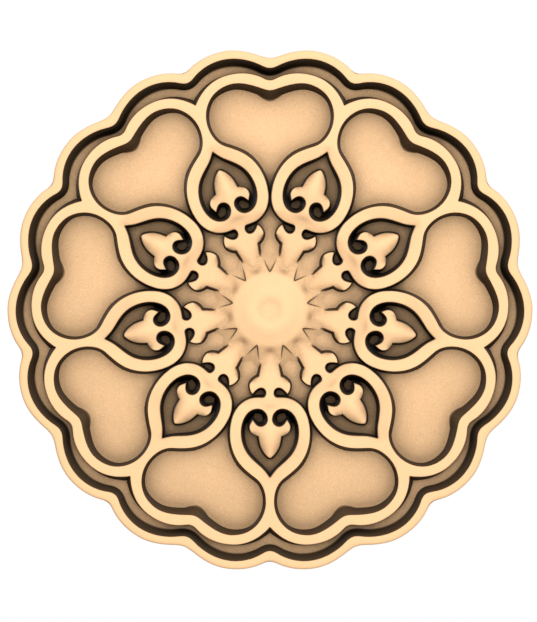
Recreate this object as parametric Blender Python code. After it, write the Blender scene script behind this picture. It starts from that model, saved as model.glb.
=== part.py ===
"""Ornamental medallion: a round wall rosette, carved in relief from one pale board.

Nine palmettes point outwards round a dimpled dome. Each is a leaf between two scrolls, inside a band
that runs on as the lattice round nine heart-shaped lobes, with a scalloped rim outside it.

The carving repeats eighteen times, mirrored every second time, so one half cell is drawn: from the
axis of a palmette, which is its y axis, round to the axis of the next lobe. The drawing is in
millimetres. In the scene the medallion stands upright, with its flat back on the plane y = 0, its
face towards -Y, one lobe at the top and one palmette pointing straight down.
"""

from math import ceil, cos, pi, radians, sin
from typing import NamedTuple

import bmesh
import bpy
import numpy as np
from mathutils import Vector
from mathutils.geometry import delaunay_2d_cdt

# Driving dimensions, in millimetres and degrees
DIAMETER = 300.0
LOBES = 9
HALF_CELL = 180.0 / LOBES
RIM_HEIGHT = 19.0
GROOVE_FLOOR = 11.0
POCKET_FLOOR = 8.5
CHEVRON_RADIUS = 31.5
CHEVRON_END = (7.2, 33.9)

# Heights above the back, by the distance from the centre. The wood's upper surface runs from the
# dimple over the dome's crest down its skirt, climbs the leaves to the scrolls, and falls to the rim
UPPER_SURFACE = (
    (0.0, 20.7), (5.1, 21.1), (10.6, 22.0), (17.0, 20.1), (21.3, 18.6), (25.0, 16.7), (28.3, 15.2),
    (31.3, 14.8), (34.3, 15.4), (38.8, 16.4), (40.7, 16.5), (44.9, 18.2), (48.0, 18.9), (52.0, 20.1),
    (57.0, 22.3), (72.0, 23.6), (88.0, 23.0), (96.0, 21.7), (105.0, 20.4), (118.0, 19.3),
    (126.0, RIM_HEIGHT),
)
# The bands and the inner leaf lean down into the pocket
POCKET_RIM_SURFACE = (
    (57.0, 22.2), (66.0, 22.9), (72.0, 23.2), (79.0, 22.1), (84.3, 21.7), (90.0, 20.8), (96.0, 20.0),
)
# The star's valleys slope away from the dome, folded along the lobe's axis, as far as the chevron
STAR_VALLEY = ((21.0, 17.5), (24.0, 16.1), (31.5, 12.3), (150.0, -44.0))
STAR_FOLD = 0.27
# Beyond the chevron the ground is level between the leaves, swells between the bands, and falls away
# across the lobe to the foot of its outer wall
GROUND_SURFACE = (
    (30.0, 12.3), (50.0, 12.3), (57.0, 12.0), (66.0, 12.5), (73.0, 13.5), (80.0, 13.9), (88.0, 13.3),
    (95.0, 12.2), (105.0, 10.4), (110.0, 9.6), (116.0, 9.0), (126.0, 8.7),
)

# Rings that give the dome its round form: the radius, and the steps across the half cell
DOME_RINGS = ((5.1, 2), (10.6, 3), (17.0, 3))
# Crests of the two leaves, and places on the lobe's ground
LEAF_CRESTS = (
    (0.0, 31.0, 16.2), (0.0, 38.0, 17.3), (0.0, 46.0, 18.4), (0.0, 51.0, 19.7), (0.0, 57.0, 22.6),
    (0.0, 65.0, 24.7), (0.0, 72.0, 25.8), (0.0, 79.0, 23.9),
)
# The crease where the leaf's point rises out of the dome's skirt
LEAF_CREASE = ((0.0, 25.5, 15.6), (2.0, 27.0, 15.3), (4.9, 30.9, 14.8))
LOBE_GROUND = ((28.0, 88.0), (21.0, 98.0), (12.0, 105.0), (12.0, 116.0), (24.0, 112.0), (34.0, 103.0))
LOBE_AXIS_GROUND = (40.0, 50.0, 57.0, 66.0, 73.0, 80.0, 88.0, 97.0, 108.0)

# How finely a curve is divided, and how far a foot may reach at a corner
LARGEST_TURN = 22.0
LONGEST_STEP = 7.5
LONGEST_MITRE = 1.3
# Sides of an edge, seen along the way it runs
LEFT = 90.0
RIGHT = -90.0

MM = 0.001
DRAWING_TOLERANCE = 1e-4
MERGE_DISTANCE = 2e-6

WOOD_COLOUR = (0.86, 0.60, 0.36, 1.0)
WOOD_ROUGHNESS = 0.5
SHARP_ANGLE = 35.0


class Knot(NamedTuple):
    """A place that a carved edge runs through.

    The heading is the way that the edge runs there, in degrees from the x axis. The run is how far
    the foot of the carved wall stands off, seen in plan. A corner also has the heading it leaves with.
    """

    x: float
    y: float
    heading: float
    run: float = 0.0
    leaving: float | None = None


def polar(angle: float, radius: float) -> Vector:
    """A place by its angle from the palmette's axis and its distance from the centre."""
    return Vector((radius * sin(radians(angle)), radius * cos(radians(angle))))


def on_lobe_axis(radius: float, heading: float, run: float = 0.0) -> Knot:
    """A knot on the axis of the lobe, where the half cell ends."""
    return Knot(*polar(HALF_CELL, radius), heading, run)


# The scalloped silhouette, from a shallow notch over a bulge to the next notch
SILHOUETTE = (
    Knot(0.0, 144.0, 0),
    Knot(6.4, 146.1, 21),
    Knot(*polar(10.0, DIAMETER / 2), -10),
    Knot(41.8, 140.3, -37),
    on_lobe_axis(144.0, -20),
)
# The rim's inner edge and the lattice's outer edge, with the groove between them
RIM_EDGE = (
    Knot(0.0, 137.7, 0, 2.9),
    Knot(6.6, 140.5, 26, 3.1),
    Knot(24.2, 143.1, -9.6, 3.6),
    Knot(41.2, 134.6, -42, 3.5),
    on_lobe_axis(138.0, -20, 3.4),
)
LATTICE_EDGE = (
    Knot(0.0, 123.8, 50, 3.3),
    Knot(5.1, 128.6, 38, 2.6),
    Knot(20.4, 134.0, 0, 1.2),
    Knot(40.4, 126.6, -43, 1.0),
    on_lobe_axis(130.85, -20, 1.1),
)
# The star's notch, then the side of the leaf, its barb, the hook behind the barb, the band, the stem
# and the bulging top of the lobe
GROUND_EDGE = (
    on_lobe_axis(21.3, 106, 0.4),
    Knot(6.2, 27.6, 97, 0.5),
    Knot(4.9, 30.9, 98, 0.9),
    Knot(5.4, 33.9, 76, 1.5),
    Knot(6.3, 38.3, 84, 1.5, 12),
    Knot(9.4, 39.6, 36, 1.2),
    Knot(11.6, 43.4, 90, 1.0),
    Knot(10.0, 48.0, 130, 0.9, 228),
    Knot(5.0, 44.5, 180, 1.7),
    Knot(2.1, 47.5, 90, 1.5),
    Knot(4.1, 50.2, 0, 1.5),
    Knot(8.0, 50.2, 3, 1.1),
    Knot(17.1, 54.2, 44, 0.9),
    Knot(21.8, 62.6, 77, 0.35),
    Knot(22.7, 70.0, 90, 1.5),
    Knot(18.2, 86.0, 123, 2.5),
    Knot(8.1, 95.8, 142, 2.5),
    Knot(2.3, 109.5, 90, 1.8),
    Knot(9.7, 125.0, 38, 1.4),
    Knot(21.7, 128.7, -1, 2.35),
    Knot(37.9, 121.1, -38, 3.2),
    on_lobe_axis(125.3, -20, 5.3),
)
# The heart-shaped pocket inside the palmette: its point, its side, the scroll, the inner leaf's barb,
# and the leaf's side down to its tip
POCKET_EDGE = (
    Knot(0.0, 95.8, -52, 0.7),
    Knot(4.0, 90.8, -45, 0.8),
    Knot(12.2, 82.8, -52, 1.2),
    Knot(16.5, 69.7, -90, 1.9),
    Knot(6.9, 56.3, -180, 3.4),
    Knot(1.2, 62.3, -270, 2.7),
    Knot(5.4, 66.5, 0, 1.6),
    Knot(9.8, 62.7, -58, 0.7, 62),
    Knot(11.6, 66.9, 90, 0.9),
    Knot(6.5, 71.8, 175, 1.1, 100),
    Knot(4.7, 79.2, 118, 1.3),
    Knot(1.7, 83.2, 140, 1.6),
    Knot(0.0, 84.3, 180, 1.8),
)


def height_at(surface: tuple, place: Vector) -> float:
    """Height of a surface at a place, by its distance from the centre."""
    radii, heights = zip(*surface)
    return float(np.interp(place.length, radii, heights))


def ground_height(place: Vector) -> float:
    """Height of the sunk ground: the star's valley as far as the chevron, the floor beyond."""
    axis = polar(HALF_CELL, 1.0)
    outward, heights = zip(*STAR_VALLEY)
    valley = float(np.interp(place.dot(axis), outward, heights)) + STAR_FOLD * abs(place.cross(axis))
    return max(valley, height_at(GROUND_SURFACE, place))


def span(start: Knot, end: Knot) -> list[tuple[Vector, float, float]]:
    """Points of one smooth stretch between two knots, each with its heading and its run."""
    first = start.heading if start.leaving is None else start.leaving
    turn = (end.heading - first + 180.0) % 360.0 - 180.0
    a, b = Vector((start.x, start.y)), Vector((end.x, end.y))
    # This handle makes an evenly bent stretch a true arc
    handle = (b - a).length * 2.0 / (3.0 * (1.0 + cos(radians(turn) / 2.0)))
    a_handle = a + handle * Vector((cos(radians(first)), sin(radians(first))))
    b_handle = b - handle * Vector((cos(radians(end.heading)), sin(radians(end.heading))))
    count = max(ceil(abs(turn) / LARGEST_TURN), ceil((b - a).length / LONGEST_STEP), 1)
    points = []
    for step in range(count + 1):
        t = step / count
        s = 1.0 - t
        place = s ** 3 * a + 3 * s * s * t * a_handle + 3 * s * t * t * b_handle + t ** 3 * b
        points.append((place, first + turn * t, start.run + (end.run - start.run) * t))
    return points


def cell_axis(place: Vector) -> Vector | None:
    """The axis of the half cell that a place lies on, if it lies on one."""
    for angle in (0.0, HALF_CELL):
        axis = polar(angle, 1.0)
        if abs(axis.cross(place)) < DRAWING_TOLERANCE:
            return axis
    return None


def edge_and_foot(knots: tuple, side: float) -> tuple[list[Vector], list[Vector]]:
    """The upper edge of a carved wall, and the foot of that wall on the given side of it.

    A foot stands off square to the edge, at a corner along the line that halves it, and at an axis
    of the half cell along that axis, so that it meets its mirror image.
    """
    edge = []
    foot = []
    previous = None
    for start, end in zip(knots, knots[1:]):
        points = span(start, end)
        for place, heading, run in points if previous is None else points[1:]:
            edge.append(place)
            foot.append(place + polar(90.0 - heading - side, run))
        if previous is not None:
            bend = (points[0][1] - previous + 180.0) % 360.0 - 180.0
            mitre = min(1.0 / cos(radians(bend / 2.0)), LONGEST_MITRE)
            corner = len(edge) - len(points)
            foot[corner] = edge[corner] + polar(90.0 - previous - bend / 2.0 - side, start.run * mitre)
        previous = points[-1][1]
    for end, heading in ((0, knots[0].heading), (-1, knots[-1].heading)):
        axis = cell_axis(edge[end])
        if axis is not None:
            run = (foot[end] - edge[end]).length
            foot[end] = edge[end] + axis * run / axis.dot(polar(90.0 - heading - side, 1.0))
    return edge, foot


class Plan:
    """The drawing of the half cell: points with their heights, and the lines that join them."""

    def __init__(self) -> None:
        self.places = []
        self.heights = []
        self.lines = []

    def add_point(self, place: Vector, height: float) -> int:
        """Adds a point and returns its number."""
        self.places.append(place)
        self.heights.append(height)
        return len(self.places) - 1

    def add_line(self, places: list[Vector], heights: list[float]) -> list[int]:
        """Adds a line of points and returns their numbers."""
        numbers = [self.add_point(place, height) for place, height in zip(places, heights)]
        self.lines.extend(zip(numbers, numbers[1:]))
        return numbers

    def add_wall(self, knots: tuple, side: float, upper: tuple, floor) -> list[int]:
        """Adds a carved wall and returns the numbers of the points along its foot."""
        edge, foot = edge_and_foot(knots, side)
        self.add_line(edge, [height_at(upper, place) for place in edge])
        return self.add_line(foot, [floor(place) for place in foot])

    def draw_axis(self, axis: Vector) -> None:
        """Joins all points that lie on an axis of the half cell, from the centre outwards."""
        numbers = [n for n, place in enumerate(self.places) if abs(axis.cross(place)) < DRAWING_TOLERANCE]
        numbers.sort(key=lambda number: self.places[number].length)
        self.lines.extend(zip(numbers, numbers[1:]))

    def triangles(self) -> tuple[list[Vector], list]:
        """The carved surface of the half cell: its points in space, and its triangles."""
        for angle in (0.0, HALF_CELL):
            self.draw_axis(polar(angle, 1.0))
        inside_lines = 1
        places, _, faces, sources, _, _ = delaunay_2d_cdt(
            self.places, self.lines, [], inside_lines, DRAWING_TOLERANCE)
        heights = [self.heights[source[0]] for source in sources]
        return [in_scene(place, height) for place, height in zip(places, heights)], faces


def in_scene(place: Vector, height: float) -> Vector:
    """A drawn place with its height, in metres in the scene."""
    return Vector((place.x, -height, -place.y)) * MM


def draw_half_cell() -> Plan:
    """Draws everything that the half cell holds."""
    plan = Plan()
    silhouette, _ = edge_and_foot(SILHOUETTE, RIGHT)
    plan.add_line(silhouette, [RIM_HEIGHT] * len(silhouette))
    plan.add_wall(RIM_EDGE, RIGHT, UPPER_SURFACE, lambda place: GROOVE_FLOOR)
    plan.add_wall(LATTICE_EDGE, LEFT, UPPER_SURFACE, lambda place: GROOVE_FLOOR)
    plan.add_wall(POCKET_EDGE, RIGHT, POCKET_RIM_SURFACE, lambda place: POCKET_FLOOR)
    ground_foot = plan.add_wall(GROUND_EDGE, RIGHT, UPPER_SURFACE, ground_height)
    plan.add_line([Vector((x, y)) for x, y, _ in LEAF_CREASE], [height for _, _, height in LEAF_CREASE])
    draw_chevron(plan, ground_foot)
    draw_dome(plan)
    for x, y, height in LEAF_CRESTS:
        plan.add_point(Vector((x, y)), height)
    lobe_axis = [polar(HALF_CELL, radius) for radius in LOBE_AXIS_GROUND]
    for place in [Vector(xy) for xy in LOBE_GROUND] + lobe_axis:
        plan.add_point(place, height_at(GROUND_SURFACE, place))
    return plan


def draw_chevron(plan: Plan, ground_foot: list[int]) -> None:
    """Draws the crease where the star's valley ends, from the lobe's axis to the leaf's foot."""
    place = polar(HALF_CELL, CHEVRON_RADIUS)
    start = plan.add_point(place, ground_height(place))
    end = min(ground_foot, key=lambda number: (plan.places[number] - Vector(CHEVRON_END)).length)
    plan.heights[end] = height_at(GROUND_SURFACE, plan.places[end])
    plan.lines.append((start, end))


def draw_dome(plan: Plan) -> None:
    """Draws the rings of the dome, round its dimple, its crest and its skirt."""
    plan.add_point(Vector((0.0, 0.0)), UPPER_SURFACE[0][1])
    for radius, steps in DOME_RINGS:
        ring = [polar(HALF_CELL * step / steps, radius) for step in range(steps + 1)]
        plan.add_line(ring, [height_at(UPPER_SURFACE, place) for place in ring])


def carved_solid(name: str, plan: Plan) -> bpy.types.Object:
    """Turns the half cell into the whole medallion: mirrored, turned round, and closed to its back."""
    mesh = bmesh.new()
    places, triangles = plan.triangles()
    corners = [mesh.verts.new(place) for place in places]
    for triangle in triangles:
        mesh.faces.new([corners[number] for number in triangle])
    everything = mesh.verts[:] + mesh.edges[:] + mesh.faces[:]
    bmesh.ops.mirror(mesh, geom=everything, axis='X', merge_dist=MERGE_DISTANCE)
    bmesh.ops.spin(
        mesh, geom=mesh.verts[:] + mesh.edges[:] + mesh.faces[:], cent=(0.0, 0.0, 0.0), axis=(0.0, 1.0, 0.0),
        angle=2.0 * pi * (LOBES - 1) / LOBES, steps=LOBES - 1, use_duplicate=True)
    bmesh.ops.remove_doubles(mesh, verts=mesh.verts[:], dist=MERGE_DISTANCE)
    rim = [edge for edge in mesh.edges if edge.is_boundary]
    side = bmesh.ops.extrude_edge_only(mesh, edges=rim)["geom"]
    for corner in (item for item in side if isinstance(item, bmesh.types.BMVert)):
        corner.co.y = 0.0
    bmesh.ops.edgeloop_fill(mesh, edges=[edge for edge in mesh.edges if edge.is_boundary])
    bmesh.ops.recalc_face_normals(mesh, faces=mesh.faces[:])
    data = bpy.data.meshes.new(name)
    mesh.to_mesh(data)
    mesh.free()
    data.shade_smooth()
    data.set_sharp_from_angle(angle=radians(SHARP_ANGLE))
    piece = bpy.data.objects.new(name, data)
    bpy.context.scene.collection.objects.link(piece)
    return piece


def wood() -> bpy.types.Material:
    """Bare pale wood with a satin surface."""
    material = bpy.data.materials.new("pale_wood")
    material.use_nodes = True
    shader = material.node_tree.nodes["Principled BSDF"]
    shader.inputs["Base Color"].default_value = WOOD_COLOUR
    shader.inputs["Roughness"].default_value = WOOD_ROUGHNESS
    shader.inputs["Metallic"].default_value = 0.0
    return material


def main() -> None:
    """Clears the scene and builds the medallion."""
    for old in list(bpy.data.objects):
        bpy.data.objects.remove(old)
    medallion = carved_solid("medallion", draw_half_cell())
    medallion.data.materials.append(wood())


main()
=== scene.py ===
"""Ornamental medallion: a round wall rosette, carved in relief from one pale board.

The frame holds the medallion as one solid in flat facets. This script carves the same thing finely,
gives it the looks of bare pale wood with painted shade in the deep cuts and on the walls, and lights it
softly.

The relief repeats eighteen times, mirrored every second time, so one half cell is drawn: from the axis
of a palmette, which is the y axis of the drawing, round to the axis of the next lobe. The drawing is in
millimetres. In the scene the medallion stands upright, its flat back on the plane y = 0, its face
towards -Y, one lobe at the top and one palmette pointing straight down.
"""

import logging
from dataclasses import dataclass, field
from enum import Enum
from math import ceil, cos, exp, hypot, pi, radians, sin, sqrt
from typing import NamedTuple

import bpy
import numpy as np
from mathutils import Matrix, Vector
from mathutils.bvhtree import BVHTree
from mathutils.geometry import delaunay_2d_cdt
from mathutils.kdtree import KDTree


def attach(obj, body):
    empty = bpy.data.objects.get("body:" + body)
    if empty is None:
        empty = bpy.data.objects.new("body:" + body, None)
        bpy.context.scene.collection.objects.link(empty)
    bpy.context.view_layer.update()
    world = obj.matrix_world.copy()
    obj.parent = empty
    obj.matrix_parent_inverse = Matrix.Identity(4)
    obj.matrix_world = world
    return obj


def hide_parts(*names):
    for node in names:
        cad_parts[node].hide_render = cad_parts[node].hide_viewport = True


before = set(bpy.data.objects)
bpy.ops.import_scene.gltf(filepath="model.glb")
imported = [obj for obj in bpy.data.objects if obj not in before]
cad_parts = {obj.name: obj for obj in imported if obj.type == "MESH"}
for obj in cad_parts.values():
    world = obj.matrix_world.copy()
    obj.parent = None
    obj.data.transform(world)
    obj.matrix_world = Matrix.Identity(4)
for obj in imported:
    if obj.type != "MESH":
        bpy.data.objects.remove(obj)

log = logging.getLogger("medallion")

MM = 0.001
LOBES = 9
# The half cell's angle, in degrees
HALF_CELL = 180.0 / LOBES
# Height of the rim above the back, in millimetres
RIM_TOP = 19.0
# Width and height of a box that holds the drawing, and how far the axes are drawn, in millimetres
DRAWING_BOX = (60.0, 151.0)
AXIS_LENGTH = 143.0
# How near a drawn point counts as lying on an axis, in millimetres, and how far off it a point is turned
# before its region is told, in degrees
ON_AXIS = 1e-3
OFF_AXIS = 0.003
# How far an edge turns from point to point at most, in degrees, how many points fan out round an outer
# corner, and the least cosines that a line's distance is divided by at an inner corner and on an axis
LARGEST_TURN = 11.0
CORNER_FAN = 6
LEAST_CORNER_COSINE = 0.3
LEAST_AXIS_COSINE = 0.2
# How many places are measured at a time
BLOCK = 400
# How near points of the finished mesh count as one, in metres, and a slack for rounding
WELD = 2e-6
TINY = 1e-6
CENTRE = (0.0, 0.0, 0.0)

Place = tuple[float, float]
Profile = tuple[Place, ...]
Nearest = tuple[np.ndarray, np.ndarray, np.ndarray]


class Side(Enum):
    """The side that a carved wall falls to, seen along the way its edge runs."""

    LEFT = 1.0
    RIGHT = -1.0


class Region(Enum):
    """What a place of the drawing belongs to."""

    UPPER = 0
    POCKET = 1
    GROUND = 2
    GROOVE = 3


class Knot(NamedTuple):
    """A place that a carved edge runs through, in millimetres.

    The heading is the way the edge runs there, in degrees from the x axis. The run is how far the foot
    of the wall stands off, seen from the front. A corner also has the heading it leaves with.
    """

    x: float
    y: float
    heading: float
    run: float = 0.0
    leaving: float | None = None


def polar(angle: float, radius: float) -> Place:
    """A place by its angle from the palmette's axis in degrees and its distance from the centre."""
    return radius * sin(radians(angle)), radius * cos(radians(angle))


def on_lobe_axis(radius: float, heading: float, run: float = 0.0) -> Knot:
    """A knot on the axis of the lobe, where the half cell ends."""
    return Knot(*polar(HALF_CELL, radius), heading, run)


LOBE_AXIS = np.array(polar(HALF_CELL, 1.0))
AXES = (np.array(polar(0.0, 1.0)), LOBE_AXIS)


def aside(places: np.ndarray, axis: np.ndarray) -> np.ndarray:
    """How far places lie to the right of an axis, seen from the centre."""
    return places[..., 0] * axis[1] - places[..., 1] * axis[0]


def soft(distance: np.ndarray, width: float) -> np.ndarray:
    """A distance that rises from 0 in a round bend of that width, in place of a corner."""
    return np.hypot(distance, width) - width


def ease(start: float, end: float, at: np.ndarray) -> np.ndarray:
    """A smooth rise from 0 at the start to 1 at the end."""
    t = np.clip((at - start) / (end - start), 0.0, 1.0)
    return t * t * (3.0 - 2.0 * t)


def along(profile: Profile, at: np.ndarray) -> np.ndarray:
    """Reads a smooth line through the pairs of a profile, which never swings past them.

    Args:
        profile: pairs of a place and a value, the places rising.
        at: the places to read.

    Returns:
        The values, level beyond both ends.
    """
    x, y = np.array(profile, float).T
    steps = np.diff(x)
    rises = np.diff(y) / steps
    slopes = np.zeros(len(x))
    same_way = rises[:-1] * rises[1:] > 0.0
    total = np.where(same_way, rises[:-1] + rises[1:], 1.0)
    slopes[1:-1] = np.where(same_way, 2.0 * rises[:-1] * rises[1:] / total, 0.0)
    at = np.clip(at, x[0], x[-1])
    piece = np.clip(np.searchsorted(x, at) - 1, 0, len(steps) - 1)
    t = (at - x[piece]) / steps[piece]
    return (
        y[piece] * (1.0 + 2.0 * t) * (1.0 - t) ** 2 + y[piece + 1] * t * t * (3.0 - 2.0 * t)
        + steps[piece] * t * (1.0 - t) * (slopes[piece] * (1.0 - t) - slopes[piece + 1] * t)
    )


def inside(outline: np.ndarray, places: np.ndarray) -> np.ndarray:
    """Tells which places lie inside a closed outline.

    Args:
        outline: the corners of the outline, one row each.
        places: the places to test, one row each.

    Returns:
        True for each place inside.
    """
    found = np.zeros(len(places), bool)
    x, y = places.T
    for (x0, y0), (x1, y1) in zip(outline, np.roll(outline, -1, axis=0)):
        if y0 != y1:
            crosses = (y0 > y) != (y1 > y)
            found ^= crosses & (x < (x1 - x0) * (y - y0) / (y1 - y0) + x0)
    return found


def nearest_points(starts: np.ndarray, ends: np.ndarray, places: np.ndarray) -> Nearest:
    """Finds the nearest point of some segments to each place.

    Args:
        starts: first ends of the segments.
        ends: second ends of the segments.
        places: the places to measure from.

    Returns:
        The distances, the numbers of the nearest segments, and how far along them the points lie.
    """
    segments = ends - starts
    squares = (segments ** 2).sum(1)
    distances, numbers, parts = [], [], []
    for block in np.array_split(places, max(len(places) // BLOCK, 1)):
        offset = block[:, None, :] - starts[None]
        part = np.clip((offset * segments).sum(2) / squares, 0.0, 1.0)
        gap = offset - part[..., None] * segments
        square = (gap ** 2).sum(2)
        best = square.argmin(1)
        rows = np.arange(len(block))
        distances.append(np.sqrt(square[rows, best]))
        numbers.append(best)
        parts.append(part[rows, best])
    return np.concatenate(distances), np.concatenate(numbers), np.concatenate(parts)


@dataclass
class CarvedEdge:
    """The upper edge of a carved wall, drawn smoothly through its knots.

    Attributes:
        knots: the knots, in the order that the edge runs.
        side: the side that the wall falls to.
        spacing: the distance between the edge's points on the finished carving, in millimetres.
        places: the edge's points.
        ways: the way from each point out to the wall's foot.
        runs: the run at each point.
        bends: how far the edge turns at each corner, in degrees, by the number of its point.
    """

    knots: tuple[Knot, ...]
    side: Side = Side.RIGHT
    spacing: float = 0.85
    places: np.ndarray = field(init=False)
    ways: np.ndarray = field(init=False)
    runs: np.ndarray = field(init=False)
    bends: dict[int, float] = field(init=False, default_factory=dict)

    def __post_init__(self) -> None:
        """Reads the points of the edge, with the way out to the wall's foot and the run at each."""
        places, ways, runs = [], [], []
        arriving = None
        for start, end in zip(self.knots, self.knots[1:]):
            leaving = start.heading if start.leaving is None else start.leaving
            if arriving is not None and start.leaving is not None:
                self.bends[len(places) - 1] = (leaving - arriving + 180.0) % 360.0 - 180.0
            piece = self._stretch(start, end, leaving)
            for place, heading, run in piece if arriving is None else piece[1:]:
                places.append(place)
                ways.append(polar(90.0 - heading - 90.0 * self.side.value, 1.0))
                runs.append(run)
            arriving = end.heading
        self.places, self.ways, self.runs = np.array(places), np.array(ways), np.array(runs)

    def _stretch(self, start: Knot, end: Knot, leaving: float) -> list[tuple[Place, float, float]]:
        """Divides the smooth stretch between two knots.

        Args:
            start: the first knot.
            end: the second knot.
            leaving: the heading that the stretch leaves the first knot with.

        Returns:
            For each point its place, its heading in degrees and its run.
        """
        turn = (end.heading - leaving + 180.0) % 360.0 - 180.0
        a, d = np.array(start[:2]), np.array(end[:2])
        chord = float(np.hypot(*(d - a)))
        # This handle makes an evenly bent stretch a true arc
        handle = chord * 2.0 / (3.0 * (1.0 + cos(radians(turn) / 2.0)))
        b = a + handle * np.array([cos(radians(leaving)), sin(radians(leaving))])
        c = d - handle * np.array([cos(radians(end.heading)), sin(radians(end.heading))])
        count = max(ceil(chord / self.spacing), ceil(abs(turn) / LARGEST_TURN), 1)
        points = []
        for step in range(count + 1):
            t = step / count
            s = 1.0 - t
            place = s ** 3 * a + 3 * s * s * t * b + 3 * s * t * t * c + t ** 3 * d
            tangent = s * s * (b - a) + 2 * s * t * (c - b) + t * t * (d - c)
            heading = np.degrees(np.arctan2(tangent[1], tangent[0]))
            points.append((tuple(place), float(heading), start.run + (end.run - start.run) * t))
        return points

    def nearest(self, places: np.ndarray) -> Nearest:
        """Finds the nearest point of the edge to each place."""
        return nearest_points(self.places[:-1], self.places[1:], places)

    def axis_way(self, index: int) -> np.ndarray | None:
        """The way along the half cell's axis, if the point with that index lies on one."""
        return next((axis for axis in AXES if abs(aside(self.places[index], axis)) < ON_AXIS), None)

    def row(self, share: float, extra: float) -> tuple[np.ndarray, np.ndarray]:
        """A line beside the edge, on the wall's side of it where the distance is positive.

        Args:
            share: the part of the run that the line stands off.
            extra: a distance added to that, in millimetres.

        Returns:
            The places of the line, and the distance each should have from the edge.
        """
        places, distances = [], []
        last = len(self.places) - 1
        for index, (place, way, run) in enumerate(zip(self.places, self.ways, self.runs)):
            distance = run * share + extra
            distances.append(abs(distance))
            if index in self.bends:
                following = self.ways[min(index + 1, last)]
                outer = self.bends[index] * self.side.value * (1.0 if distance > 0.0 else -1.0) < 0.0
                inner_cosine = max(cos(radians(self.bends[index] / 2.0)), LEAST_CORNER_COSINE)
                distances.extend([abs(distance)] * (CORNER_FAN - 1 if outer else 0))
                for part in np.linspace(0.0, 1.0, CORNER_FAN) if outer else (0.5,):
                    fan = way * (1.0 - part) + following * part
                    places.append(place + fan / np.hypot(*fan) * distance / (1.0 if outer else inner_cosine))
                continue
            axis = self.axis_way(index) if index in (0, last) else None
            lean = 1.0 if axis is None else float(axis @ way)
            if axis is not None and abs(lean) > LEAST_AXIS_COSINE:
                places.append(place + axis * distance / lean)
            else:
                places.append(place + way * distance)
        return np.array(places), np.array(distances)


# The scalloped silhouette, from a shallow notch over a bulge to the next notch
SILHOUETTE = CarvedEdge((
    Knot(0.0, 144.0, 0),
    Knot(6.4, 146.1, 21),
    Knot(*polar(10.0, 150.0), -10),
    Knot(41.8, 140.3, -37),
    on_lobe_axis(144.0, -20),
), spacing=1.3)
# The rim's inner edge and the lattice's outer edge, with the groove between them
RIM_EDGE = CarvedEdge((
    Knot(0.0, 137.7, 0, 2.9),
    Knot(6.6, 140.5, 26, 3.1),
    Knot(24.2, 143.1, -9.6, 3.6),
    Knot(41.2, 134.6, -42, 3.5),
    on_lobe_axis(138.0, -20, 3.4),
), spacing=1.0)
LATTICE_EDGE = CarvedEdge((
    Knot(0.0, 123.8, 50, 3.3),
    Knot(5.1, 128.6, 38, 2.6),
    Knot(20.4, 134.0, 0, 1.2),
    Knot(40.4, 126.6, -43, 1.0),
    on_lobe_axis(130.85, -20, 1.1),
), Side.LEFT, 1.0)
# The star's notch, then the side of the leaf, its barb, the hook behind the barb, the band, the stem and
# the bulging top of the lobe
GROUND_EDGE = CarvedEdge((
    on_lobe_axis(21.3, 106, 0.4),
    Knot(6.2, 27.6, 97, 0.5),
    Knot(4.9, 30.9, 98, 0.9),
    Knot(5.4, 33.9, 76, 1.5),
    Knot(6.3, 38.3, 84, 1.5, 12),
    Knot(9.4, 39.6, 36, 1.2),
    Knot(11.6, 43.4, 90, 1.0),
    Knot(10.0, 48.0, 130, 0.9, 228),
    Knot(5.0, 44.5, 180, 1.7),
    Knot(2.1, 47.5, 90, 1.5),
    Knot(4.1, 50.2, 0, 1.5),
    Knot(8.0, 50.2, 3, 1.1),
    Knot(17.1, 54.2, 44, 0.9),
    Knot(21.8, 62.6, 77, 0.35),
    Knot(22.7, 70.0, 90, 1.5),
    Knot(18.2, 86.0, 123, 2.5),
    Knot(8.1, 95.8, 142, 2.5),
    Knot(2.3, 109.5, 90, 1.8),
    Knot(9.7, 125.0, 38, 1.4),
    Knot(21.7, 128.7, -1, 2.35),
    Knot(37.9, 121.1, -38, 3.2),
    on_lobe_axis(125.3, -20, 5.3),
))
# The heart-shaped pocket inside the palmette: its point, its side, the scroll, the inner leaf's barb, and
# the leaf's side down to its tip
POCKET_EDGE = CarvedEdge((
    Knot(0.0, 95.8, -52, 0.7),
    Knot(4.0, 90.8, -45, 0.8),
    Knot(12.2, 82.8, -52, 1.2),
    Knot(16.5, 69.7, -90, 1.9),
    Knot(6.9, 56.3, -180, 3.4),
    Knot(1.2, 62.3, -270, 2.7),
    Knot(5.4, 66.5, 0, 1.6),
    Knot(9.8, 62.7, -58, 0.7, 62),
    Knot(11.6, 66.9, 90, 0.9),
    Knot(6.5, 71.8, 175, 1.1, 100),
    Knot(4.7, 79.2, 118, 1.3),
    Knot(1.7, 83.2, 140, 1.6),
    Knot(0.0, 84.3, 180, 1.8),
))
# The crease where the point of the leaf rises out of the dome's skirt
LEAF_CREASE = CarvedEdge((
    Knot(0.0, 25.5, 18),
    Knot(2.0, 27.0, 50),
    Knot(4.9, 30.2, 47),
), spacing=0.5)
# Each edge with the sunk region that its wall falls to
EDGES = (
    (RIM_EDGE, Region.GROOVE),
    (LATTICE_EDGE, Region.GROOVE),
    (GROUND_EDGE, Region.GROUND),
    (POCKET_EDGE, Region.POCKET),
)


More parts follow.
